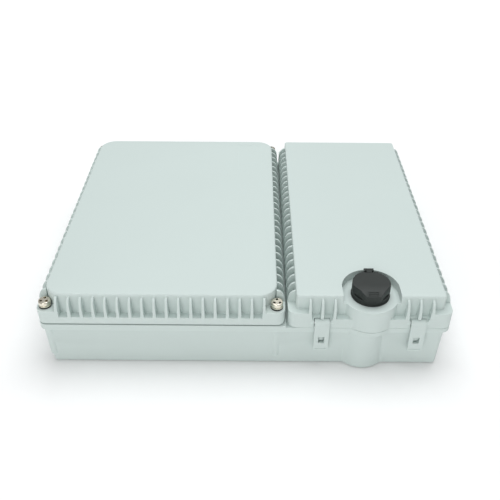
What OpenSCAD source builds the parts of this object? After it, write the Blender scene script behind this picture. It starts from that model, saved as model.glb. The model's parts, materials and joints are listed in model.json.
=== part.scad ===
// Two-compartment fiber termination box, lying on its back.
// X runs along the box, Y from the latch side to the hinge side, Z out of the mounting wall.
// The origin is the centre of the flat back face.

/* [Enclosure] */
// Length over the rims
box_w = 370; // [366:1:376]
// Depth over the rims, from the latch side to the hinge side
box_d = 308; // [304:1:312]
// Height of the two flat cover tops
top_z = 79; // [77:0.5:82]
// Height of the base's rim under the operator cover
seam_z = 49; // [48.8:0.1:49.6]
// Height of the base's rim under the user cover
user_seam_z = 47.3; // [47:0.1:47.8]
// Thickness of the moulded walls
wall = 3; // [2.5:0.1:3.5]
// Length of the screwed operator cover
operator_w = 221; // [219:1:223]
// Gap between the two covers
cover_gap = 2.5; // [2:0.1:3]

/* [Rim and skirt] */
// Height of the lower edge of the base's outer rim band
rim_z = 42.6; // [41:0.2:43.4]
// How far the base wall stands in from the rim at the two ends
rim_overhang = 4; // [3:0.5:5]
// How far the base wall stands in from the rim at the front and back
front_overhang = 1.8; // [1.5:0.1:2.5]
// Height of the ledge on the cover skirts
ledge_z = 57.7; // [57:0.1:58.5]
// Height of the raised corner blocks of the skirts
block_z = 64.2; // [63:0.2:65]
// Corner radius of the rims and skirts
rim_r = 7.5; // [5:0.5:8]
// Width of the skirt ledge around the raised cover tops
ledge_w = 7; // [6.5:0.1:7.5]
// Corner radius of the operator cover's raised top
plate_r = 17.5; // [17.5:0.5:19]
// Radius of the soft edge round the cover tops
plate_edge = 1.6; // [1.2:0.1:2]

/* [Ribs] */
// Distance between ribs along the length
rib_pitch_x = 10.8; // [10.6:0.05:10.9]
// Distance between ribs along the depth
rib_pitch_y = 11.32; // [11:0.02:11.4]
// Number of ribs along the front and back of the operator cover
ribs_operator = 18; // [14:2:18]
// Number of ribs along each side
ribs_side = 25; // [21:2:25]
// Rib thickness at its foot
rib_foot = 3.2; // [2.8:0.1:3.4]
// Rib thickness at its top
rib_tip = 2.1; // [1.8:0.1:2.4]

/* [Lock] */
// Place of the lock axis along X
lock_x = 112.5; // [108:0.5:116]
// Place of the lock axis along Y
lock_y = -134.8; // [-136:0.2:-133]
// Radius of the bulge that carries the lock
bulge_r = 25.6; // [25.2:0.1:26]
// Radius of the recess around the lock
recess_r = 25.7; // [25.2:0.1:26.4]
// Height of the recess floor
recess_z = 70.8; // [70:0.2:71.4]
// Radius of the round weather cap
cap_r = 17; // [16.5:0.1:17.4]

/* [Latches] */
// Width of a latch arm
latch_w = 13.2; // [12:0.2:13.4]
// Height of the free end of a latch arm
latch_low_z = 22.6; // [20:0.2:25]
// Thickness of a latch arm
latch_t = 2.6; // [2.4:0.1:2.8]

/* [Hidden] */
$fn = 48;

grey = "#c3d0cc";
black = "#2c3230";
steel = "#b8bcb8";
nickel = "#d8d6c4";
brass = "#c8a850";
rubber = "#303432";
tray_white = "#e4e6e2";

eps = 0.01;
join = 0.5;                             // how deep a joined shape reaches into its neighbour
left_x = -box_w / 2;
right_x = box_w / 2;
front_y = -box_d / 2;
split_l = left_x + operator_w;          // right edge of the operator cover
split_r = split_l + cover_gap;          // left edge of the user cover
split_mid = (split_l + split_r) / 2;
skirt_z = seam_z + 1.2;                 // underside of the operator cover, held up by its seal
user_skirt_z = user_seam_z + 0.2;       // underside of the user cover
lip = ledge_w + wall;                   // width of the sealing flange
groove_out = 3.5;                       // inset of the seal groove's outer edge
groove_in = 7.5;                        // inset of the seal groove's inner edge
groove_depth = 3;
corner_arc = 29.5;                      // keeps the operator seal inside its screws
floor_t = 3;
base_r = 5.5;
draft = 2;                              // how far the base wall leans in at the back face
entry_x = box_w / 2 - rim_overhang;     // flat face of the cable entries, on the end walls
pocket_inset = rim_overhang + wall + draft / 2;
pocket_y = -front_y - front_overhang - wall - draft / 2;
entry_wall = pocket_inset - rim_overhang;
bottom_edge = 2.5;                      // radius round the back face
low_bulge_at = [lock_x - 3, lock_y + 1.2];
low_bulge_r = bulge_r - 1.6;            // the bulge below the rim, a little to one side
low_bulge_wall = 2.2;
user_plate_r = 3;

screw_inset_x = 7.3;
screw_inset_y = 8.5;
screw_at = [for (x = [left_x + screw_inset_x, split_l - screw_inset_x],
                 y = [front_y + screw_inset_y, -front_y - screw_inset_y]) [x, y]];
column_r = 5.2;
column_low_r = 4;
column_low_z = 8;
column_x = [for (p = screw_at) p[0] < split_l - 20 ? p[0] + 1 : p[0]];
column_y = -front_y - front_overhang + 0.8 - column_r;
insert_boss_z = 31;
insert_r = 3;
thread_r = 2.1;
head_r = 5.4;

block_x_operator = 19.8;                // length of the operator cover's corner blocks
block_x_user = 20.4;
block_y = 19.3;

hinge_y = -front_y + 4.5;
hinge_z = user_seam_z + 0.1;
hinge_r = 4;
hinge_at = [75, 150];
knuckle_w = 8;
knuckle_gap = 0.3;
hinge_pin_r = 1.5;
running = 0.05;                         // radial clearance of a turning fit

latch_at = [69, 154.8];
latch_y = front_y - 0.4;                // inner face of a latch arm
pivot_y = front_y + 1;
pivot_z = 53;
pivot_r = 3.9;
swing_r = 4.2;                          // clears the latch arm's top as it swings out
latch_pin_r = 1;
catch_z = [32.6, 38.2];

gland_at = [-60, 60];
gland_z = 22;
cable_r = 5.5;
clamp_r = 5.8;                          // the saddle is drawn before it is tightened
panel_x = 84;
adapter_pitch = 15;
adapter_n = 16;
adapter_z = 22;
drop_pitch = 16;
drop_n = 16;
drop_z = 22;
mount_dx = 140;
mount_dy = 100;

// ---------- outlines ----------

module rounded(x0, y0, x1, y1, r) {
    translate([x0 + r, y0]) square([x1 - x0 - 2 * r, y1 - y0]);
    translate([x0, y0 + r]) square([x1 - x0, y1 - y0 - 2 * r]);
    for (x = [x0 + r, x1 - r], y = [y0 + r, y1 - r])
        translate([x, y]) circle(r);
}

module slab(z0, z1) {
    translate([0, 0, z0]) linear_extrude(z1 - z0) children();
}

module post(x, y, z0, z1, r) {
    translate([x, y, z0]) cylinder(h = z1 - z0, r = r);
}

module block(x0, x1, y0, y1, z0, z1) {
    translate([x0, y0, z0]) cube([x1 - x0, y1 - y0, z1 - z0]);
}

// A cylinder along X, from x0 to x1.
module rod(x0, x1, y, z, r) {
    translate([x0, y, z]) rotate([0, 90, 0]) cylinder(h = x1 - x0, r = r);
}

module hex_rod(x0, x1, y, z, r) {
    translate([x0, y, z]) rotate([0, 90, 0]) cylinder(h = x1 - x0, r = r, $fn = 6);
}

// The operator side's outline, moved in by inset.
module operator_outline(inset, r) {
    rounded(left_x + inset, front_y + inset, split_l - inset, -front_y - inset, r);
}

// The user side's outline with its lock bulge, moved in by inset.
module user_outline(inset, r) {
    rounded(split_r + inset, front_y + inset, right_x - inset, -front_y - inset, r);
    translate([lock_x, lock_y]) circle(bulge_r - inset);
}

// The hollow corners where a bulge of radius r round the place at leaves a straight front
// at height y. Both ends of the arc reach a little way into the solids that they join.
module bulge_fillets(at, y, r, fillet) {
    rise = at[1] - y + fillet;
    out = sqrt(pow(r + fillet, 2) - pow(rise, 2));
    bulge_side = atan2(rise, -out);
    steps = 6;
    arc = [for (i = [0:steps]) let (a = 90 + (bulge_side - 90) * i / steps)
        [out + (fillet + 0.05) * cos(a), y - fillet + (fillet + 0.05) * sin(a)]];
    for (side = [-1, 1])
        translate([at[0], 0])
            polygon([for (p = concat([[r / 2, y + 1], [out, y + 1]], arc)) [side * p[0], p[1]]]);
}

// The recess around the lock: a half round that runs straight to the front.
module recess_outline(grow) {
    translate([lock_x, lock_y]) circle(recess_r + grow);
    translate([lock_x - recess_r - grow, lock_y - 40]) square([2 * (recess_r + grow), 40]);
}

// The quarter round of a soft edge: up is 1 for a top edge and -1 for a bottom edge.
module edge_profile(radius, up) {
    polygon(concat([[-join, up * (-radius - join)], [radius, up * (-radius - join)]],
        [for (a = [0:15:90]) [radius * cos(a), up * radius * (sin(a) - 1)]], [[-join, 0]]));
}

// A rounded block whose top edge is soft all round.
module soft_block(x0, y0, x1, y1, r, z0, z1, edge) {
    corners = [[x1 - r, y1 - r], [x0 + r, y1 - r], [x0 + r, y0 + r], [x1 - r, y0 + r]];
    slab(z0, z1 - edge) rounded(x0, y0, x1, y1, r);
    slab(z0, z1) rounded(x0 + edge, y0 + edge, x1 - edge, y1 - edge, r - edge);
    for (i = [0:3]) {
        length = i % 2 == 0 ? y1 - y0 - 2 * r : x1 - x0 - 2 * r;
        translate([corners[i][0], corners[i][1], z1]) rotate(90 * i) {
            rotate_extrude(angle = 90) translate([r - edge, 0]) edge_profile(edge, 1);
            rotate([90, 0, 0]) linear_extrude(length) translate([r - edge, 0])
                edge_profile(edge, 1);
        }
    }
}

// ---------- base ----------

// The wall's profile, drawn outwards from a corner's centre: it leans in towards the back
// face and turns into it through a round edge.
module wall_profile(r) {
    low = r - draft - bottom_edge;
    polygon(concat([[low - join, rim_z + join], [r, rim_z + join]],
        [for (a = [0:15:90]) [low + bottom_edge * cos(a), bottom_edge * (1 - sin(a))]],
        [[low - join, 0]]));
}

// The base's tub: a rounded block with leaning walls.
module tub(wall_x, wall_y) {
    x = wall_x - base_r;
    y = wall_y - base_r;
    inset = draft + bottom_edge;
    slab(0, rim_z + join)
        rounded(-wall_x + inset, -wall_y + inset, wall_x - inset, wall_y - inset, base_r - inset);
    for (turn = [0:3]) {
        corner = [[x, y], [-x, y], [-x, -y], [x, -y]][turn];
        translate([corner[0], corner[1], 0]) rotate(90 * turn) {
            rotate_extrude(angle = 90) wall_profile(base_r);
            rotate([90, 0, 0]) linear_extrude(2 * (turn % 2 == 0 ? y : x)) wall_profile(base_r);
        }
    }
}

module base_outside() {
    wall_x = right_x - rim_overhang;
    wall_y = -front_y - front_overhang;
    tub(wall_x, wall_y);
    slab(bottom_edge, rim_z + join) {
        translate(low_bulge_at) circle(low_bulge_r);
        bulge_fillets(low_bulge_at, draft / 2 - wall_y, low_bulge_r, 7);
    }
    post(low_bulge_at[0], low_bulge_at[1], 0, floor_t + 1, low_bulge_r - bottom_edge);
    translate([low_bulge_at[0], low_bulge_at[1], 0]) rotate_extrude()
        translate([low_bulge_r - bottom_edge, 0]) edge_profile(bottom_edge, -1);
    slab(rim_z, user_seam_z) {
        rounded(left_x, front_y, right_x, -front_y, rim_r);
        translate([lock_x, lock_y]) circle(bulge_r);
        bulge_fillets([lock_x, lock_y], front_y, bulge_r, 6);
    }
    slab(rim_z, seam_z) intersection() {
        rounded(left_x, front_y, right_x, -front_y, rim_r);
        translate([left_x, front_y]) square([split_mid - left_x, -2 * front_y]);
    }
}

// A screw column that stands a little proud of the wall, leans with it and ends in a round nose.
module screw_column(x, y) {
    nose = 3.2;
    translate([x, y, column_low_z]) rotate_extrude()
        polygon(concat([[0, rim_z + join - column_low_z], [0, 0]],
            [for (a = [0:15:90]) [column_low_r - nose + nose * sin(a), nose - nose * cos(a)]],
            [[column_r, rim_z - column_low_z], [column_r, rim_z + join - column_low_z]]));
}

module base_pockets() {
    in_l = left_x + pocket_inset;
    in_r = right_x - pocket_inset;
    slab(floor_t, rim_z) rounded(in_l, -pocket_y, split_mid - wall / 2, pocket_y, 5);
    slab(floor_t, rim_z) {
        rounded(split_mid + wall / 2, -pocket_y, in_r, pocket_y, 5);
        translate(low_bulge_at) circle(low_bulge_r - low_bulge_wall);
    }
    slab(rim_z - eps, seam_z + 1) operator_outline(lip, corner_arc - lip);
    slab(rim_z - eps, seam_z + 1) user_outline(lip, 3);
}

module seal_grooves() {
    slab(seam_z - groove_depth, seam_z + 1) difference() {
        operator_outline(groove_out, corner_arc - groove_out);
        operator_outline(groove_in, corner_arc - groove_in);
    }
    slab(user_seam_z - groove_depth, user_seam_z + 1) difference() {
        user_outline(groove_out, 5);
        user_outline(groove_in, 3);
    }
}

module latch_catch(x) {
    depth = front_y + front_overhang - latch_y - 0.3;
    root = draft;                       // reaches into the leaning wall
    translate([x - 2.2, front_y + front_overhang + root, 0]) rotate([90, 0, 90]) linear_extrude(4.4)
        polygon([[0, catch_z[0]], [-depth - root, catch_z[0]], [-depth - root, catch_z[0] + 2],
                 [-root, catch_z[1] + 2], [0, catch_z[1] + 2]]);
}

module base_knuckles() {
    for (x = hinge_at, side = [-1, 1]) {
        x0 = x + side * (knuckle_w + knuckle_gap) - knuckle_w / 2;
        difference() {
            union() {
                rod(x0, x0 + knuckle_w, hinge_y, hinge_z, hinge_r);
                block(x0, x0 + knuckle_w, -front_y - join, hinge_y, rim_z + 0.5, user_seam_z);
            }
            rod(x0 - 1, x0 + knuckle_w + 1, hinge_y, hinge_z, hinge_pin_r);
        }
    }
}

module base_bosses() {
    for (i = [0:3]) post(column_x[i], screw_at[i][1], insert_boss_z, rim_z + eps, column_r - 0.4);
    for (x = [-mount_dx, mount_dx], y = [-mount_dy, mount_dy]) post(x, y, floor_t - eps, 13, 7);
    // pads that carry the cable clamps, on the floor
    for (y = gland_at) block(-158, -142, y - 13, y + 13, floor_t - eps, 8);
    // stiffening ribs on the floor
    for (y = [-120, 120]) block(-120, 10, y - 1, y + 1, floor_t - eps, 6);
}

// Upright faces on the leaning end walls, where the glands and the drop grommets sit.
module entry_pads() {
    deep = draft + 1;
    for (y = gland_at) rod(-entry_x, -entry_x + deep, y, gland_z, 14);
    half = drop_at(drop_n - 1) + 9;
    block(entry_x - deep, entry_x, -half, half, drop_z - 9, drop_z + 9);
}

module base() {
    color(grey) difference() {
        union() {
            difference() {
                union() {
                    base_outside();
                    for (i = [0:3]) screw_column(column_x[i], sign(screw_at[i][1]) * column_y);
                    for (x = latch_at) latch_catch(x);
                    entry_pads();
                    base_knuckles();
                }
                base_pockets();
            }
            base_bosses();
        }
        seal_grooves();
        for (p = screw_at) post(p[0], p[1], seam_z - 14, seam_z + 1, insert_r);
        for (x = [-mount_dx, mount_dx], y = [-mount_dy, mount_dy]) post(x, y, -1, 10, 4);
        for (y = gland_at) rod(left_x, left_x + 10, y, gland_z, 8.05);
        for (i = [0:drop_n - 1]) rod(right_x - 10, right_x, drop_at(i), drop_z, 5);
        for (y = [-90, 90])
            block(split_mid - wall, split_mid + wall, y - 12, y + 12, 26, 36);
        for (y = gland_at, side = [-1, 1]) post(-150, y + side * 9.5, 4, 9, 1.5);
        for (p = panel_screw_at) post(p[0], p[1], 1.2, 4, 1.3);
        for (p = comb_screw_at) post(p[0], p[1], 1.2, 4, 1.3);
        for (p = standoff_at) post(p[0], p[1], 1.2, 4, 2);
        for (p = splitter_screw_at) post(p[0], p[1], 1.2, 4, 1.3);
    }
}

function drop_at(i) = (i - (drop_n - 1) / 2) * drop_pitch;
function adapter_at(i) = (i - (adapter_n - 1) / 2) * adapter_pitch;
panel_screw_at = [for (y = [-123, -41, 41, 123]) [panel_x + 9, y]];
comb_screw_at = [for (y = [-133.8, 133.8]) [156, y]];
standoff_at = [for (x = [-112, 8], y = [-52, 52]) [x, y]];
splitter_screw_at = [for (x = [-83, 7], y = [-35, 35]) [x, y]];

module operator_gasket() {
    color(rubber) slab(seam_z - groove_depth, skirt_z - 1.25) difference() {
        operator_outline(groove_out + 0.2, corner_arc - groove_out - 0.2);
        operator_outline(groove_in - 0.2, corner_arc - groove_in + 0.2);
    }
}

module user_gasket() {
    color(rubber) slab(user_seam_z - groove_depth, user_skirt_z - 1.25) difference() {
        user_outline(groove_out + 0.2, 4.8);
        user_outline(groove_in - 0.2, 3.2);
    }
}

module cover_screw_inserts() {
    color(brass) for (p = screw_at) difference() {
        post(p[0], p[1], seam_z - 12, seam_z, insert_r);
        post(p[0], p[1], seam_z - 13, seam_z + 1, 2.55);
    }
}

module wall_mount_inserts() {
    color(brass) for (x = [-mount_dx, mount_dx], y = [-mount_dy, mount_dy]) difference() {
        post(x, y, 0, 10, 4);
        post(x, y, -1, 9, 2.5);
    }
}

module hinge_pins() {
    color(steel) for (x = hinge_at)
        rod(x - 12.5, x + 12.5, hinge_y, hinge_z, hinge_pin_r);
}

// ---------- cable glands ----------

module gland_bodies() {
    color(black) for (y = gland_at) difference() {
        union() {
            hex_rod(left_x + 0.5, -entry_x, y, gland_z, 11.5);
            rod(left_x - 3, left_x + 1, y, gland_z, 9);
            rod(left_x + 1, left_x + 14, y, gland_z, 8);
        }
        rod(left_x - 4, left_x + 15, y, gland_z, 6);
    }
}

module gland_locknuts() {
    x0 = left_x + pocket_inset;
    color(black) for (y = gland_at) difference() {
        hex_rod(x0, x0 + 4, y, gland_z, 11.5);
        rod(x0 - 1, x0 + 5, y, gland_z, 8);
    }
}

module gland_seals() {
    color(rubber) for (y = gland_at) difference() {
        rod(left_x - 11, left_x - 3, y, gland_z, 8.5);
        rod(left_x - 12, left_x - 2, y, gland_z, cable_r);
    }
}

// Domed compression nuts with grip ribs.
module gland_nuts() {
    color(black) for (y = gland_at) translate([left_x, y, gland_z]) rotate([0, -90, 0]) difference() {
        union() {
            rotate_extrude() polygon(concat([[0, 0], [11, 0], [11, 8]],
                [for (a = [0:15:75]) [7.6 + 3.4 * cos(a), 8 + 4.2 * sin(a)]], [[0, 12.2]]));
            for (a = [0:30:330]) rotate(a) translate([10.6, -0.9, 0]) cube([1, 1.8, 8]);
        }
        translate([0, 0, -1]) cylinder(h = 4, r = 9 + running);
        translate([0, 0, 2.9]) cylinder(h = 8.2, r = 8.5 + running);
        cylinder(h = 20, r = 7);
    }
}

// A two-part saddle that grips the cable jacket just inside the gland.
module cable_clamps() {
    color(steel) for (y = gland_at) difference() {
        union() {
            block(-156, -144, y - 13, y + 13, 8, gland_z - 0.2);
            block(-156, -144, y - 13, y + 13, gland_z + 0.2, gland_z + 8);
        }
        rod(-160, -140, y, gland_z, clamp_r);
        for (side = [-1, 1]) post(-150, y + side * 9.5, 7, 40, 1.5);
    }
}

module clamp_screws() {
    color(steel) for (y = gland_at, side = [-1, 1]) difference() {
        union() {
            post(-150, y + side * 9.5, 4, gland_z + 8, 1.5);
            post(-150, y + side * 9.5, gland_z + 8, gland_z + 10.4, 2.8);
        }
        block(-153, -147, y + side * 9.5 - 0.4, y + side * 9.5 + 0.4, gland_z + 9.4, gland_z + 11);
    }
}

// ---------- splitter and splice tray ----------

module splitter_module() {
    color("#3c4044") difference() {
        block(-88, 12, -40, 40, floor_t, 13);
        for (y = [-28, -14, 14, 28]) rod(-89, -82, y, 8, 2.2);
        block(-70, -6, -28, 28, 12.6, 14);
        for (p = splitter_screw_at) post(p[0], p[1], floor_t - 1, 14, 1.6);
    }
}

module splitter_screws() {
    color(steel) for (p = splitter_screw_at) pan_screw(p[0], p[1], 13, 1.3, 2.6, 11.8);
}

module tray_standoffs() {
    color(tray_white) for (p = standoff_at) difference() {
        union() {
            post(p[0], p[1], floor_t, 17, 4.5);
            post(p[0], p[1], 1.2, floor_t + eps, 2);
        }
        post(p[0], p[1], 8, 18, 1.3);
    }
}

module tray_screws() {
    color(steel) for (p = standoff_at) difference() {
        union() {
            post(p[0], p[1], 8.5, 19, 1.3);
            post(p[0], p[1], 19, 21, 2.8);
        }
        block(p[0] - 3, p[0] + 3, p[1] - 0.4, p[1] + 0.4, 20.2, 22);
    }
}

tray_l = -124;
tray_r = 20;
tray_d = 62;
tray_z = 17;
tray_top = 29;

// A curved wall that keeps fibre loops above their smallest bend.
module fibre_guide(x, r, from, to) {
    translate([x, 0, tray_z + 1.5]) rotate(from) rotate_extrude(angle = to - from)
        translate([r, 0]) square([1.6, 8]);
}

module splice_tray() {
    floor_z = tray_z + 2;
    color(tray_white) difference() {
        union() {
            difference() {
                slab(tray_z, tray_top) rounded(tray_l, -tray_d, tray_r, tray_d, 12);
                slab(floor_z, tray_top + 1)
                    rounded(tray_l + 2, -tray_d + 2, tray_r - 2, tray_d - 2, 10);
            }
            fibre_guide(-88, 26, 120, 240);
            fibre_guide(-16, 26, -60, 60);
            for (y = [-36, 36]) block(-76, -28, y - 1, y + 1, floor_z - join, 25);
        }
        for (p = standoff_at) post(p[0], p[1], tray_z - 1, floor_z + 1, 1.5);
        // fibre entries in the end walls
        for (x = [tray_l - 1, tray_r - 3], y = [-40, 40])
            block(x, x + 4, y - 5, y + 5, floor_z, tray_top + 1);
    }
}

module splice_combs() {
    color("#8fa6b8") for (x = [-72, -40]) difference() {
        block(x, x + 8, -32, 32, tray_z + 2, tray_z + 10);
        for (i = [0:15]) rod(x - 1, x + 9, (i - 7.5) * 3.8, tray_z + 8, 1.3);
        for (i = [0:15])
            block(x - 1, x + 9, (i - 7.5) * 3.8 - 0.9, (i - 7.5) * 3.8 + 0.9, tray_z + 8, 30);
    }
}

module splice_tray_lid() {
    color("#dfe8ea", 0.5) difference() {
        slab(tray_top, tray_top + 1.6) rounded(tray_l, -tray_d, tray_r, tray_d, 12);
        for (p = standoff_at) post(p[0], p[1], tray_top - 1, tray_top + 3, 4);
    }
}

module partition_grommets() {
    x0 = split_mid - wall / 2;
    color(rubber) for (y = [-90, 90]) difference() {
        union() {
            block(x0, x0 + wall, y - 12, y + 12, 26, 36);
            block(x0 - 1.5, x0, y - 14, y + 14, 24, 38);
            block(x0 + wall, x0 + wall + 1.5, y - 14, y + 14, 24, 38);
        }
        block(x0 - 2, x0 + 1, y - 9, y + 9, 28.5, 33.5);
        block(x0 + 2, x0 + 5, y - 9, y + 9, 28.5, 33.5);
    }
}

// ---------- user compartment ----------

module adapter_panel() {
    color(steel) difference() {
        union() {
            block(panel_x, panel_x + 2, -128, 128, floor_t, 36);
            block(panel_x, panel_x + 14, -128, 128, floor_t, floor_t + 2);
            for (y = [-128, 126]) block(panel_x, panel_x + 14, y, y + 2, floor_t, 20);
        }
        for (i = [0:adapter_n - 1])
            block(panel_x - 1, panel_x + 3, adapter_at(i) - 4.7, adapter_at(i) + 4.7,
                  adapter_z - 6.5, adapter_z + 6.5);
        for (p = panel_screw_at) post(p[0], p[1], 2, 6, 1.6);
    }
}

module pan_screw(x, y, z, shank_r, head, deep) {
    difference() {
        union() {
            post(x, y, z - deep, z, shank_r);
            post(x, y, z, z + 2, head);
        }
        block(x - head, x + head, y - 0.4, y + 0.4, z + 1.1, z + 3);
        block(x - 0.4, x + 0.4, y - head, y + head, z + 1.1, z + 3);
    }
}

module panel_screws() {
    color(steel) for (p = panel_screw_at) pan_screw(p[0], p[1], floor_t + 2, 1.3, 2.6, 3.8);
}

module adapters() {
    color("#2f8f5b") for (i = [0:adapter_n - 1]) difference() {
        y = adapter_at(i);
        union() {
            block(panel_x - 14, panel_x + 14, y - 4.6, y + 4.6, adapter_z - 6.4, adapter_z + 6.4);
            block(panel_x + 2, panel_x + 4, y - 6.3, y + 6.3, adapter_z - 9, adapter_z + 9);
        }
        block(panel_x - 15, panel_x - 3, y - 3.6, y + 3.6, adapter_z - 5.2, adapter_z + 5.2);
        block(panel_x + 5, panel_x + 15, y - 3.6, y + 3.6, adapter_z - 5.2, adapter_z + 5.2);
    }
}

module dust_caps() {
    color("#d9483b") for (i = [0:adapter_n - 1], side = [-1, 1]) {
        y = adapter_at(i);
        inner = panel_x + side * 7;
        face = panel_x + side * 14;
        outer = panel_x + side * 17;
        block(min(inner, face), max(inner, face), y - 3.5, y + 3.5, adapter_z - 5, adapter_z + 5);
        block(min(face, outer), max(face, outer), y - 4.6, y + 4.6, adapter_z - 6, adapter_z + 6);
    }
}

module cable_comb() {
    color(tray_white) difference() {
        union() {
            block(151, 161, -136, 136, floor_t, floor_t + 2.5);
            for (i = [0:drop_n]) {
                y = drop_at(i) - drop_pitch / 2;
                block(153, 159, y - 2.2, y + 2.2, floor_t + 2, 21);
                block(153, 159, y - 3.2, y + 3.2, 19, 21.5);
            }
        }
        for (p = comb_screw_at) post(p[0], p[1], 2, 7, 1.6);
    }
}

module comb_screws() {
    color(steel) for (p = comb_screw_at) pan_screw(p[0], p[1], floor_t + 2.5, 1.3, 2.4, 4.3);
}

// Blind grommets, pierced when a drop cable is fitted.
module drop_grommets() {
    t = entry_wall;
    color(rubber) for (i = [0:drop_n - 1]) translate([entry_x - t, drop_at(i), drop_z])
        rotate([0, 90, 0]) rotate_extrude()
            polygon([[0, 1], [2.4, 1], [2.4, -1.5], [6.5, -1.5], [6.5, 0], [5, 0], [5, t],
                [6.5, t], [6.5, t + 1.2], [4, t + 1.6], [2.6, t + 3.6], [0, t + 3.6]]);
}

// ---------- covers ----------

// One rib in its own frame: it stands on the ledge, leans on the wall at x = 0 and reaches
// out to x = ledge_w. Its front is a quarter ellipse and it is thicker at the foot.
module rib() {
    reach = ledge_w;
    rise = top_z - 3 - ledge_z;
    straight = 7;
    intersection() {
        translate([0, rib_foot, 0]) rotate([90, 0, 0]) linear_extrude(2 * rib_foot)
            polygon(concat([[-join, rise], [-join, -join], [reach, -join]],
                [for (a = [0:10:90]) [reach * cos(a), straight + (rise - straight) * sin(a)]]));
        translate([-1, 0, 0]) rotate([90, 0, 90]) linear_extrude(ledge_w + 2)
            polygon([[-rib_foot / 2, -join], [rib_foot / 2, -join],
                     [rib_tip / 2, rise + 0.1], [-rib_tip / 2, rise + 0.1]]);
    }
}

// Ribs centred on mid, along X, on the front (side -1) or the back (side 1).
module ribs_along_x(mid, n, side) {
    for (i = [0:n - 1])
        translate([mid + (i - (n - 1) / 2) * rib_pitch_x, side * (-front_y - ledge_w), ledge_z])
            rotate(side * 90) rib();
}

module ribs_along_y(x, side) {
    for (i = [0:ribs_side - 1])
        translate([x, (i - (ribs_side - 1) / 2) * rib_pitch_y, ledge_z])
            rotate(side > 0 ? 0 : 180) rib();
}

module corner_blocks(x0, x1, length) {
    for (y = [front_y, -front_y - block_y]) {
        slab(ledge_z - join, block_z) intersection() {
            union() {
                translate([x0, y]) square([length, block_y]);
                translate([x1 - length, y]) square([length, block_y]);
            }
            rounded(x0, front_y, x1, -front_y, rim_r);
        }
    }
}

module operator_cover() {
    plate_l = left_x + ledge_w;
    plate_right = split_l - ledge_w;
    mid = (plate_l + plate_right) / 2;
    color(grey) difference() {
        union() {
            slab(skirt_z, ledge_z) operator_outline(0, rim_r);
            soft_block(plate_l, front_y + ledge_w, plate_right, -front_y - ledge_w, plate_r,
                       skirt_z, top_z, plate_edge);
            corner_blocks(left_x, split_l, block_x_operator);
            for (side = [-1, 1]) ribs_along_x(mid, ribs_operator, side);
            ribs_along_y(plate_l, -1);
            ribs_along_y(plate_right, 1);
            // the tongue that presses on the seal
            slab(skirt_z - 1.2, skirt_z + join) difference() {
                operator_outline(groove_out + 1.2, corner_arc - groove_out - 1.2);
                operator_outline(groove_in - 1.2, corner_arc - groove_in + 1.2);
            }
        }
        slab(skirt_z - 2, top_z - wall) operator_outline(lip, plate_r - wall);
        for (p = screw_at) post(p[0], p[1], skirt_z - 2, block_z + 20, 2.75);
        // clear the screw heads from the nearest ribs and the raised top
        for (p = screw_at) post(p[0], p[1], block_z, top_z + 1, head_r + 0.5);
        // shallow field for a label
        block(-10.5, 16.5, 83, 136, top_z - 0.2, top_z + 1);
    }
}

module screw_washers() {
    color(rubber) for (p = screw_at) difference() {
        post(p[0], p[1], block_z, block_z + 1.2, head_r + 0.2);
        post(p[0], p[1], block_z - 1, block_z + 2, 2.6);
    }
}

// Captive screws with tall cylinder heads and three driver holes each.
module cover_screws() {
    head_z = block_z + 1.2;
    color(nickel) for (p = screw_at) translate([p[0], p[1], 0]) difference() {
        union() {
            post(0, 0, seam_z - 9, head_z, 2.5);
            post(0, 0, head_z, head_z + 1.4, head_r);
            post(0, 0, head_z + 1.4, head_z + 2, head_r - 0.5);
            post(0, 0, head_z + 2, head_z + 4.9, head_r);
            translate([0, 0, head_z + 4.9]) cylinder(h = 0.6, r1 = head_r, r2 = head_r - 0.6);
        }
        for (a = [90:120:330]) rotate(a) translate([2.9, 0, head_z + 1]) cylinder(h = 6, r = 1.25);
    }
}

module cover_knuckles() {
    for (x = hinge_at) difference() {
        union() {
            rod(x - knuckle_w / 2, x + knuckle_w / 2, hinge_y, hinge_z, hinge_r);
            block(x - knuckle_w / 2, x + knuckle_w / 2, -front_y - join, hinge_y,
                  user_skirt_z, hinge_z + hinge_r);
        }
        rod(x - knuckle_w, x + knuckle_w, hinge_y, hinge_z, hinge_pin_r + running);
    }
}

module user_ribs() {
    plate_l = split_r + ledge_w;
    plate_right = right_x - ledge_w;
    mid = (split_r + right_x) / 2;
    for (x = [58, 69, 80, 144.4, 155.2, 166.4])
        translate([x, front_y + ledge_w, ledge_z]) rotate(-90) rib();
    ribs_along_x(mid, 11, 1);
    ribs_along_y(plate_l, -1);
    ribs_along_y(plate_right, 1);
}

module user_cover_outside() {
    wall_y = front_y + ledge_w;
    slab(user_skirt_z, ledge_z) {
        rounded(split_r, front_y, right_x, -front_y, rim_r);
        translate([lock_x, lock_y]) circle(bulge_r);
        bulge_fillets([lock_x, lock_y], front_y, bulge_r, 6);
    }
    slab(ledge_z - join, recess_z) {
        translate([lock_x, lock_y]) circle(bulge_r);
        bulge_fillets([lock_x, lock_y], wall_y, bulge_r, 3);
    }
    soft_block(split_r + ledge_w, wall_y, right_x - ledge_w, -wall_y, user_plate_r,
               user_skirt_z, top_z, plate_edge);
    corner_blocks(split_r, right_x, block_x_user);
    cover_knuckles();
    // the tongue that presses on the seal
    slab(user_skirt_z - 1.2, user_skirt_z + join) difference() {
        user_outline(groove_out + 1.2, 4);
        user_outline(groove_in - 1.2, 3);
    }
}

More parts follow.
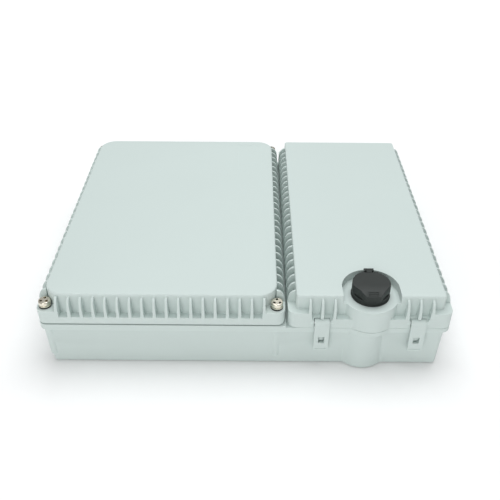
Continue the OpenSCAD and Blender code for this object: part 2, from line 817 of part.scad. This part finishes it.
// The hollow under the raised top, with the lock's deep seat left standing.
module user_cover_inside() {
    slab(user_skirt_z - 2, recess_z - wall)
        rounded(split_r + lip, front_y + lip, right_x - lip, -front_y - lip, 2);
    slab(user_skirt_z - 2, ledge_z)
        translate([lock_x, lock_y]) circle(bulge_r - lip);
    slab(ledge_z - eps, recess_z - wall)
        translate([lock_x, lock_y]) circle(bulge_r - wall);
    slab(recess_z - wall - eps, top_z - wall) difference() {
        rounded(split_r + lip, front_y + lip, right_x - lip, -front_y - lip, 2);
        recess_outline(wall);
    }
}

// The scoop in the skirt that a latch's hub turns in, with a sloped dish above it.
module latch_notch(x) {
    half = latch_w / 2 + 0.6;
    rod(x - half, x + half, pivot_y, pivot_z, swing_r);
    block(x - half, x + half, front_y - 1, pivot_y, pivot_z - pivot_r - 0.4, pivot_z + swing_r);
    translate([x - half - 1.6, 0, 0]) rotate([90, 0, 90]) linear_extrude(2 * (half + 1.6))
        polygon([[front_y - 1, pivot_z + 2.6], [front_y + 0.5, pivot_z + 2.6],
                 [front_y + 6, ledge_z + eps], [front_y + 6, ledge_z + 1], [front_y - 1, ledge_z + 1]]);
}

module user_cover() {
    color(grey) difference() {
        union() {
            difference() {
                user_cover_outside();
                for (x = latch_at) latch_notch(x);
            }
            user_ribs();
        }
        slab(recess_z, top_z + 1) recess_outline(0);
        user_cover_inside();
        post(lock_x, lock_y, recess_z - 10, recess_z + 1, 9.6);
        for (x = latch_at) rod(x - 10, x + 10, pivot_y, pivot_z, latch_pin_r);
    }
}

module latch_pins() {
    color(steel) for (x = latch_at) rod(x - 9.5, x + 9.5, pivot_y, pivot_z, latch_pin_r);
}

// A latch arm that turns on its pin in the skirt and reaches down over the base wall.
module latch(x) {
    top = pivot_z + 0.4;
    half = latch_w / 2;
    color(grey) difference() {
        union() {
            translate([x, latch_y, 0]) rotate([90, 0, 0]) linear_extrude(latch_t)
                rounded(-half, latch_low_z, half, top, 1.2);
            rod(x - half, x + half, pivot_y, pivot_z, pivot_r);
            block(x - half, x + half, latch_y - 1, pivot_y, pivot_z - 2.6, top);
            // grip ridge on the free end
            block(x - half + 1.5, x + half - 1.5, latch_y - latch_t - 0.5, latch_y - 1,
                  latch_low_z + 1.2, latch_low_z + 2.2);
        }
        block(x - 2.8, x + 2.8, latch_y - latch_t - 1, latch_y + 1, 31.8, 38.9);
        rod(x - 10, x + 10, pivot_y, pivot_z, latch_pin_r + running);
    }
}

module latch_left() { latch(latch_at[0]); }
module latch_right() { latch(latch_at[1]); }

// ---------- lock ----------

cam_z = 39;                             // underside of the cam
cap_floor = recess_z + 1.5;             // top of the cap ring's inner flange
cap_split_z = recess_z + 5.2;           // lower edge of the cap's lid
cap_top_z = recess_z + 13.6;
cap_axis_y = lock_y + cap_r + 2.6;
cap_axis_z = recess_z + 11.8;
cap_pin_r = 0.8;
knuckle_r = 2.1;
lug_x = [2.6, 4.3];                     // inner and outer faces of the ring's hinge lugs
nose_x = 6.5;
nose_y = 17;
nose_slope = 27;                        // how steeply the lid's nose falls, in degrees

module lock_housing() {
    color(nickel) difference() {
        union() {
            post(lock_x, lock_y, 44, cap_floor + 1, 9.5);
            post(lock_x, lock_y, cap_floor, cap_floor + 2.6, 12.3);
        }
        post(lock_x, lock_y, 43, cap_floor + 4, 6 + running);
    }
}

module lock_nut() {
    color(steel) difference() {
        translate([lock_x, lock_y, recess_z - wall - 5]) cylinder(h = 4.95, r = 14, $fn = 6);
        post(lock_x, lock_y, recess_z - wall - 6, recess_z, 9.5);
    }
}

module lock_plug() {
    color(nickel) difference() {
        union() {
            post(lock_x, lock_y, 44, cap_floor + 2.9, 6);
            post(lock_x, lock_y, cam_z, 44 + eps, 3.5);
        }
        block(lock_x - 4, lock_x + 4, lock_y - 0.9, lock_y + 0.9, cap_floor - 8, cap_floor + 4);
        post(lock_x, lock_y, cam_z - 1, 50, 1.6);
    }
}

// The cam rests open, pointing along X, and turns to the front under the rim's lip.
module lock_cam() {
    color(steel) difference() {
        slab(cam_z, cam_z + 2.4) translate([lock_x, lock_y]) {
            circle(6);
            translate([0, -5]) square([13, 10]);
            translate([0, -3.6]) square([17, 7.2]);
        }
        post(lock_x, lock_y, cam_z - 1, cam_z + 4, 3.5);
    }
}

module cam_screw() {
    color(steel) difference() {
        union() {
            post(lock_x, lock_y, cam_z - 2.6, cam_z, 4.4);
            post(lock_x, lock_y, cam_z, 49, 1.6);
        }
        block(lock_x - 5, lock_x + 5, lock_y - 0.5, lock_y + 0.5, cam_z - 3, cam_z - 1.7);
    }
}

module lock_cap_ring() {
    color(black) difference() {
        union() {
            post(lock_x, lock_y, recess_z, recess_z + 1.4, cap_r + 0.5);
            post(lock_x, lock_y, recess_z, cap_split_z - 0.3, cap_r - 0.4);
            for (side = [-1, 1]) {
                x0 = lock_x + (side < 0 ? -lug_x[1] : lug_x[0]);
                x1 = x0 + lug_x[1] - lug_x[0];
                rod(x0, x1, cap_axis_y, cap_axis_z, knuckle_r);
                block(x0, x1, lock_y + cap_r - 2, cap_axis_y + knuckle_r, recess_z, cap_axis_z);
            }
        }
        post(lock_x, lock_y, cap_floor, cap_top_z, 12.6);
        post(lock_x, lock_y, recess_z - 1, cap_top_z, 9.6);
        rod(lock_x - 5, lock_x + 5, cap_axis_y, cap_axis_z, cap_pin_r);
    }
}

// The lid's outline: a disc cut by two chords that meet a blunt lifting nose at the front.
module cap_lid_outline() {
    translate([lock_x, lock_y]) polygon(concat([[-nose_x, -nose_y], [nose_x, -nose_y]],
        [for (a = [-14:4:194]) [cap_r * cos(a), cap_r * sin(a)]]));
}

module lock_cap_lid() {
    slope_y = lock_y - 11;              // where the nose starts to fall
    color(black) difference() {
        union() {
            difference() {
                slab(cap_split_z, cap_top_z) cap_lid_outline();
                translate([lock_x - 12, slope_y, cap_top_z]) rotate([nose_slope, 0, 0])
                    translate([0, -12, 0]) cube([24, 12, 8]);
            }
            // grip ridges across the nose
            for (y = [slope_y - 1.4, slope_y - 2.9, slope_y - 4.4])
                rod(lock_x - 4.4, lock_x + 4.4, y, cap_top_z + (y - slope_y) * tan(nose_slope), 0.4);
            rod(lock_x - 2.4, lock_x + 2.4, cap_axis_y, cap_axis_z, knuckle_r);
            block(lock_x - 2.4, lock_x + 2.4, lock_y + cap_r - 2, cap_axis_y,
                  cap_axis_z - 1, cap_axis_z + knuckle_r);
        }
        post(lock_x, lock_y, cap_split_z - 1, cap_top_z - 2, 12.4);
        rod(lock_x - 5, lock_x + 5, cap_axis_y, cap_axis_z, cap_pin_r + running);
        // slots for the ring's lugs
        for (side = [-1, 1]) {
            x0 = lock_x + (side < 0 ? -lug_x[1] - 0.3 : lug_x[0] - 0.2);
            block(x0, x0 + 2.2, lock_y + cap_r - 2.6, cap_axis_y + 5, cap_split_z - 1, cap_top_z + 1);
        }
    }
}

module lock_cap_pin() {
    color(steel) rod(lock_x - 4.3, lock_x + 4.3, cap_axis_y, cap_axis_z, cap_pin_r);
}

base();
operator_gasket();
user_gasket();
cover_screw_inserts();
wall_mount_inserts();
hinge_pins();
gland_bodies();
gland_locknuts();
gland_seals();
gland_nuts();
cable_clamps();
clamp_screws();
splitter_module();
splitter_screws();
tray_standoffs();
tray_screws();
splice_tray();
splice_combs();
splice_tray_lid();
partition_grommets();
adapter_panel();
panel_screws();
adapters();
dust_caps();
cable_comb();
comb_screws();
drop_grommets();
operator_cover();
screw_washers();
cover_screws();
user_cover();
latch_pins();
latch_left();
latch_right();
lock_housing();
lock_nut();
lock_plug();
lock_cam();
cam_screw();
lock_cap_ring();
lock_cap_lid();
lock_cap_pin();
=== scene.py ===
import json
import math

import bmesh
import bpy
import numpy
from mathutils import Matrix, Vector

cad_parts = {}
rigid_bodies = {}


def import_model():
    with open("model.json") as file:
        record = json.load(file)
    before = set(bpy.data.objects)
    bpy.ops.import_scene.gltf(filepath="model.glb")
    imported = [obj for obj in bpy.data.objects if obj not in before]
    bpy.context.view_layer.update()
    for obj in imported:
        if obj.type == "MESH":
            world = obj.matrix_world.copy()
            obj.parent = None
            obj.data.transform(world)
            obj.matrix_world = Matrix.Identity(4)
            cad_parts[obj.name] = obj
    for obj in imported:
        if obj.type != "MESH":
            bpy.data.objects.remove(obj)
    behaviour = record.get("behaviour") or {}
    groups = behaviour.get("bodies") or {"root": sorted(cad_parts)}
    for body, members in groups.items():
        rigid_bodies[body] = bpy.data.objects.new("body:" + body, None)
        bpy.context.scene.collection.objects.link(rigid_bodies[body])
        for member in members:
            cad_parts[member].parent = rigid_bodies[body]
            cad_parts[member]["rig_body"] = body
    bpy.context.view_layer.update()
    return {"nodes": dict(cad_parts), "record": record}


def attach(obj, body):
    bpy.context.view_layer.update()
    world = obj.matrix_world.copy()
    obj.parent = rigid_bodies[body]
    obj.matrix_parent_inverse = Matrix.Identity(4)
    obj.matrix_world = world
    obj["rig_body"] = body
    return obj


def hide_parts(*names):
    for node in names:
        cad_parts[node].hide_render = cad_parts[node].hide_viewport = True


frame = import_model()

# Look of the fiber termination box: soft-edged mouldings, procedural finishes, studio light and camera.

scene = bpy.context.scene
WHITE = (1.0, 1.0, 1.0, 1.0)


# ---------- camera, floor and light ----------

def make_camera():
    """In front of the latches, looking down at the covers."""
    data = bpy.data.cameras.new("camera")
    data.lens, data.sensor_width = 47.995, 36.0
    data.shift_x, data.shift_y = -0.00136, -0.00592
    data.clip_start, data.clip_end = 0.05, 20.0
    camera = bpy.data.objects.new("camera", data)
    pitch, yaw, roll = (math.radians(a) for a in (35.88, -0.12, 0.36))
    forward = Vector((math.sin(yaw) * math.cos(pitch), math.cos(yaw) * math.cos(pitch), -math.sin(pitch)))
    level = Vector((math.cos(yaw), -math.sin(yaw), 0.0))
    up = level.cross(forward)
    right = math.cos(roll) * level + math.sin(roll) * up
    up = math.cos(roll) * up - math.sin(roll) * level
    place = Matrix.Translation((0.00596, -0.5954, 0.4555))
    camera.matrix_world = place @ Matrix((right, up, -forward)).transposed().to_4x4()
    scene.collection.objects.link(camera)
    scene.camera = camera


def area_light(name, place, target, size, power, colour=WHITE[:3]):
    """A rectangular lamp that faces its target."""
    data = bpy.data.lights.new(name, "AREA")
    data.shape, data.size, data.size_y = "RECTANGLE", size[0], size[1]
    data.energy, data.color = power, colour
    light = bpy.data.objects.new(name, data)
    light.location = place
    light.rotation_euler = (Vector(target) - Vector(place)).to_track_quat("-Z", "Y").to_euler()
    scene.collection.objects.link(light)


def make_studio():
    """Even white surroundings, a large lamp overhead, a weaker one in front and a paper floor."""
    scene.view_settings.view_transform = "Standard"
    world = bpy.data.worlds.new("studio")
    world.use_nodes = True
    background = world.node_tree.nodes["Background"]
    background.inputs["Color"].default_value = WHITE
    background.inputs["Strength"].default_value = 0.40
    scene.world = world
    area_light("overhead", (0.1, 0.3, 1.5), (0.0, 0.0, 0.0), (1.4, 1.4), 19.0, (0.97, 0.99, 1.0))
    area_light("front_fill", (-0.5, -1.9, 0.8), (0.0, -0.1, 0.03), (1.4, 0.9), 12.5)

    floor_mesh = bpy.data.meshes.new("floor")
    half, height = 6.0, -0.0003
    corners = [(x * half, y * half, height) for x, y in ((-1, -1), (1, -1), (1, 1), (-1, 1))]
    floor_mesh.from_pydata(corners, [], [(0, 1, 2, 3)])
    floor_mesh.materials.append(floor_paper())
    floor = bpy.data.objects.new("floor", floor_mesh)
    scene.collection.objects.link(floor)


# ---------- finishes ----------

MIX_FACTOR, MIX_FIRST, MIX_SECOND, MIX_RESULT = 0, 6, 7, 2      # a colour Mix node's sockets
EDGE_HIGHLIGHT_RADIUS = 0.0009                                            # how far in from an edge the painted edge highlight reaches
EDGE_HIGHLIGHT_SHADE = 1.25                                               # how much paler an edge is under the painted edge highlight


class Nodes:
    """A few calls that keep a material's node tree short to write."""

    def __init__(self, name):
        self.material = bpy.data.materials.new(name)
        self.material.use_nodes = True
        self.tree = self.material.node_tree
        self.shader = self.tree.nodes["Principled BSDF"]

    def add(self, kind, inputs=(), **settings):
        """A new node, with each input linked if given a socket, or else set."""
        node = self.tree.nodes.new("ShaderNode" + kind)
        for key, value in settings.items():
            setattr(node, key, value)
        for key, value in dict(inputs).items():
            if isinstance(value, bpy.types.NodeSocket):
                self.tree.links.new(value, node.inputs[key])
            else:
                node.inputs[key].default_value = value
        return node

    def link(self, output, socket):
        """Feeds one of the shader's sockets."""
        self.tree.links.new(output, self.shader.inputs[socket])

    def mapped(self, value, low, high):
        """A 0..1 value spread over low..high."""
        return self.add("MapRange", {"Value": value, "To Min": low, "To Max": high}).outputs["Result"]

    def mixed(self, factor, first, second):
        """A colour between two others."""
        mix = self.add("Mix", data_type="RGBA")
        for index, value in ((MIX_FACTOR, factor), (MIX_FIRST, first), (MIX_SECOND, second)):
            if isinstance(value, bpy.types.NodeSocket):
                self.tree.links.new(value, mix.inputs[index])
            else:
                mix.inputs[index].default_value = value
        return mix.outputs[MIX_RESULT]


def shade(colour, factor):
    """A colour made darker or paler by a factor."""
    return tuple(min(1.0, c * factor) for c in colour[:3]) + (1.0,)


def plastic(name, colour, roughness, grain_height, grain_scale, tint=0.04, edge_light=0.0):
    """Moulded plastic: spark-eroded grain, slow colour drift and a painted highlight that makes edges
    slightly paler.
    """
    n = Nodes(name)
    where = n.add("TexCoord").outputs["Object"]
    drift = n.add("TexNoise", {"Vector": where, "Scale": 14.0, "Detail": 3.0}).outputs["Fac"]
    grain = n.add("TexNoise", {"Vector": where, "Scale": grain_scale, "Detail": 4.0,
                               "Roughness": 0.6}).outputs["Fac"]
    tone = n.mixed(drift, shade(colour, 1.0 - tint), shade(colour, 1.0 + tint))
    fine = n.mixed(n.mapped(grain, 0.0, 0.5), tone, shade(colour, 0.94))
    # painted highlight: edges are made paler where the bevel normal turns away from the face normal,
    # standing in for light catching rounded edges
    if edge_light:
        rounded = n.add("Bevel", {"Radius": EDGE_HIGHLIGHT_RADIUS}, samples=4).outputs["Normal"]
        flat = n.add("NewGeometry").outputs["Normal"]
        facing = n.add("VectorMath", {0: rounded, 1: flat}, operation="DOT_PRODUCT").outputs["Value"]
        painted_edge_highlight = n.add("MapRange", {"Value": facing, "From Min": 0.99, "From Max": 0.86,
                                  "To Min": 0.0, "To Max": edge_light}).outputs["Result"]
        fine = n.mixed(painted_edge_highlight, fine, shade(colour, EDGE_HIGHLIGHT_SHADE))
    n.link(fine, "Base Color")
    n.link(n.mapped(grain, roughness - 0.06, roughness + 0.06), "Roughness")
    if grain_height:
        bump = n.add("Bump", {"Height": grain, "Strength": 0.35, "Distance": grain_height})
        n.link(bump.outputs["Normal"], "Normal")
    n.shader.inputs["Specular IOR Level"].default_value = 0.4
    return n.material


def metal(name, colour, roughness, streak=(400.0, 400.0, 30.0), tint=0.08):
    """Plated or drawn metal: fine streaks in roughness and tone, with a few dull spots."""
    n = Nodes(name)
    where = n.add("TexCoord").outputs["Object"]
    stretched = n.add("Mapping", {"Vector": where, "Scale": streak}).outputs["Vector"]
    lines = n.add("TexNoise", {"Vector": stretched, "Scale": 4.0, "Detail": 5.0}).outputs["Fac"]
    spots = n.add("TexNoise", {"Vector": where, "Scale": 160.0, "Detail": 2.0}).outputs["Fac"]
    n.link(n.mixed(n.mapped(spots, 0.0, 1.0), shade(colour, 1.0 - tint), shade(colour, 1.0 + tint)),
           "Base Color")
    n.link(n.mapped(lines, roughness - 0.08, roughness + 0.1), "Roughness")
    n.link(n.add("Bump", {"Height": lines, "Strength": 0.15, "Distance": 0.0001}).outputs["Normal"],
           "Normal")
    n.shader.inputs["Metallic"].default_value = 1.0
    return n.material


def clear_plastic(name, colour):
    """Clear sheet: light scuffs in the roughness and a faint moulding ripple."""
    n = Nodes(name)
    where = n.add("TexCoord").outputs["Object"]
    scuff = n.add("TexNoise", {"Vector": where, "Scale": 220.0, "Detail": 6.0}).outputs["Fac"]
    ripple = n.add("TexNoise", {"Vector": where, "Scale": 30.0, "Detail": 1.0}).outputs["Fac"]
    n.link(n.mixed(ripple, shade(colour, 0.97), shade(colour, 1.03)), "Base Color")
    n.link(n.mapped(scuff, 0.06, 0.22), "Roughness")
    n.link(n.add("Bump", {"Height": ripple, "Strength": 0.1, "Distance": 0.0003}).outputs["Normal"],
           "Normal")
    n.shader.inputs["Alpha"].default_value = 0.35
    n.shader.inputs["IOR"].default_value = 1.58
    return n.material


def floor_paper():
    """White paper sweep that glows towards its edges, as under a lit backdrop."""
    n = Nodes("floor_paper")
    where = n.add("TexCoord").outputs["Object"]
    fibres = n.add("TexNoise", {"Vector": where, "Scale": 60.0, "Detail": 4.0}).outputs["Fac"]
    n.link(n.mixed(fibres, (0.94, 0.94, 0.94, 1.0), (0.96, 0.96, 0.96, 1.0)), "Base Color")
    away = n.add("VectorMath", {0: where}, operation="LENGTH").outputs["Value"]
    glow = n.add("MapRange", {"Value": away, "From Min": 0.28, "From Max": 0.75,
                              "To Min": 0.0, "To Max": 0.45}, interpolation_type="SMOOTHSTEP")
    n.link(glow.outputs["Result"], "Emission Strength")
    n.shader.inputs["Emission Color"].default_value = WHITE
    n.shader.inputs["Roughness"].default_value = 0.8
    n.shader.inputs["Specular IOR Level"].default_value = 0.1
    return n.material


GREY = (0.575, 0.655, 0.632)
FINISHES = {
    # the last argument of grey_plastic and black_plastic sets the strength of the painted edge highlight
    "grey_plastic": plastic("grey_plastic", GREY, 0.52, 0.00012, 1100.0, 0.015, 0.35),
    "black_plastic": plastic("black_plastic", (0.017, 0.022, 0.020), 0.5, 0.0001, 1300.0, 0.1, 0.2),
    "rubber": plastic("rubber", (0.018, 0.018, 0.019), 0.8, 0.0001, 900.0, 0.15),
    "brass": metal("brass", (0.62, 0.43, 0.16), 0.3),
    "steel": metal("steel", (0.56, 0.57, 0.56), 0.34),
    "nickel": metal("nickel", (0.78, 0.74, 0.63), 0.24),
    "white_plastic": plastic("white_plastic", (0.72, 0.735, 0.70), 0.48, 0.0001, 1200.0, 0.02),
    "splitter_plastic": plastic("splitter_plastic", (0.025, 0.028, 0.032), 0.42, 0.0001, 1200.0, 0.1),
    "comb_plastic": plastic("comb_plastic", (0.18, 0.29, 0.40), 0.45, 0.0001, 1200.0, 0.05),
    "clear_plastic": clear_plastic("clear_plastic", (0.82, 0.90, 0.91)),
    "green_plastic": plastic("green_plastic", (0.03, 0.22, 0.07), 0.28, 0.00004, 1000.0, 0.06),
    "red_plastic": plastic("red_plastic", (0.45, 0.03, 0.02), 0.42, 0.00006, 1000.0, 0.06),
}
NODE_SLOT = {subpart["node"]: subpart["material_slot"] for subpart in frame["record"]["subparts"]}


# ---------- mouldings ----------

SAME_POINT = 2e-6                       # metres: corners this close are one corner
FLAT = math.radians(0.4)                # facets that meet at less than this are one face
SHARP = math.radians(32.0)              # edges that turn more than this are rounded
NARROWEST_CORNER = math.radians(25.0)   # a bevel can't end in a corner sharper than this
ROOM = 1.5                              # how many bevel widths a neighbouring edge must have
CLEARANCE = 2.2                         # how many bevel widths apart two edges across a face must be
TOUCHING = 1e-6                         # metres: edges this close across a face are in one line
BEVEL_SEGMENTS = 2

def clean(bm):
    """Joins split corners and merges coplanar facets, so that bevels run along real edges."""
    bmesh.ops.remove_doubles(bm, verts=bm.verts, dist=SAME_POINT)
    bmesh.ops.dissolve_limit(bm, angle_limit=FLAT, verts=bm.verts, edges=bm.edges)
    bmesh.ops.recalc_face_normals(bm, faces=bm.faces)


def room_at(edge, vert, width):
    """Whether both faces of an edge leave room for a bevel of this width at one of its ends."""
    for face in edge.link_faces:
        for loop in face.loops:
            if loop.vert is not vert:
                continue
            beside = loop.link_loop_prev.edge if loop.edge is edge else loop.edge
            if beside.calc_length() < ROOM * width or loop.calc_angle() < NARROWEST_CORNER:
                return False
    return True


def crowded_edges(bm, reach):
    """Edges that look at another edge across less than this much of a many-sided face."""
    crowded = set()
    for face in bm.faces:
        if len(face.loops) < 5:
            continue
        edges = [loop.edge for loop in face.loops]
        starts = numpy.array([loop.vert.co for loop in face.loops])
        runs = numpy.roll(starts, -1, axis=0) - starts
        lengths = numpy.linalg.norm(runs, axis=1)
        along = runs / lengths[:, None]
        inward = numpy.cross(numpy.array(face.normal), along)
        offsets = (starts + runs / 2)[:, None] - starts[None]
        shares = numpy.clip((offsets * along[None]).sum(2), 0, lengths[None])
        nearest = shares[..., None] * along[None] - offsets
        depth = (nearest * inward[:, None]).sum(2)
        side = numpy.abs((nearest * along[:, None]).sum(2))
        for pair in numpy.argwhere((depth > TOUCHING) & (depth < reach) & (side < depth)):
            crowded.update(edges[index] for index in pair)
    return crowded


def mark_edges(bm, width):
    """Gives a bevel weight to each sharp edge that has room for its bevel."""
    weight = bm.edges.layers.float.new("bevel_weight_edge")
    crowded = crowded_edges(bm, CLEARANCE * width)
    for edge in bm.edges:
        if len(edge.link_faces) != 2 or edge.calc_face_angle(0.0) < SHARP or edge in crowded:
            continue
        if edge.calc_length() < ROOM * width:
            continue
        if all(room_at(edge, vert, width) for vert in edge.verts):
            edge[weight] = 1.0


def soften(node, width):
    """A copy of a CAD node with rounded edges, which stands for it."""
    source = frame["nodes"][node]
    piece = bpy.data.objects.new("soft_" + node, source.data.copy())
    scene.collection.objects.link(piece)
    if "custom_normal" in piece.data.attributes:
        piece.data.attributes.remove(piece.data.attributes["custom_normal"])
    bm = bmesh.new()
    bm.from_mesh(piece.data)
    clean(bm)
    mark_edges(bm, width)
    bm.to_mesh(piece.data)
    bm.free()
    piece.data.materials.clear()
    piece.data.materials.append(FINISHES[NODE_SLOT[node]])
    piece.data.shade_smooth()
    piece.data.set_sharp_from_angle(angle=SHARP)
    bevel = piece.modifiers.new("edges", "BEVEL")
    bevel.width, bevel.segments = width, BEVEL_SEGMENTS
    bevel.limit_method = "WEIGHT"
    bevel.use_clamp_overlap = False
    bevel.harden_normals = True
    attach(piece, source["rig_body"])
    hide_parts(node)


EDGE_WIDTHS = {
    "base": 0.0006, "operator_cover": 0.0005, "user_cover": 0.0005,
    "latch_left": 0.0004, "latch_right": 0.0004, "lock_cap_lid": 0.0004, "lock_cap_ring": 0.0003,
    "cover_screws": 0.0003, "screw_washers": 0.0003, "splitter_module": 0.0005,
    "splice_tray": 0.0003, "splice_tray_lid": 0.0003, "cable_clamps": 0.0005, "gland_nuts": 0.0004,
    "gland_bodies": 0.0005, "adapter_panel": 0.0003, "dust_caps": 0.0005,
}
EDGE_WIDTH = 0.00015                    # metres, for every other node

make_camera()
make_studio()
for node in list(frame["nodes"]):
    soften(node, EDGE_WIDTHS.get(node, EDGE_WIDTH))
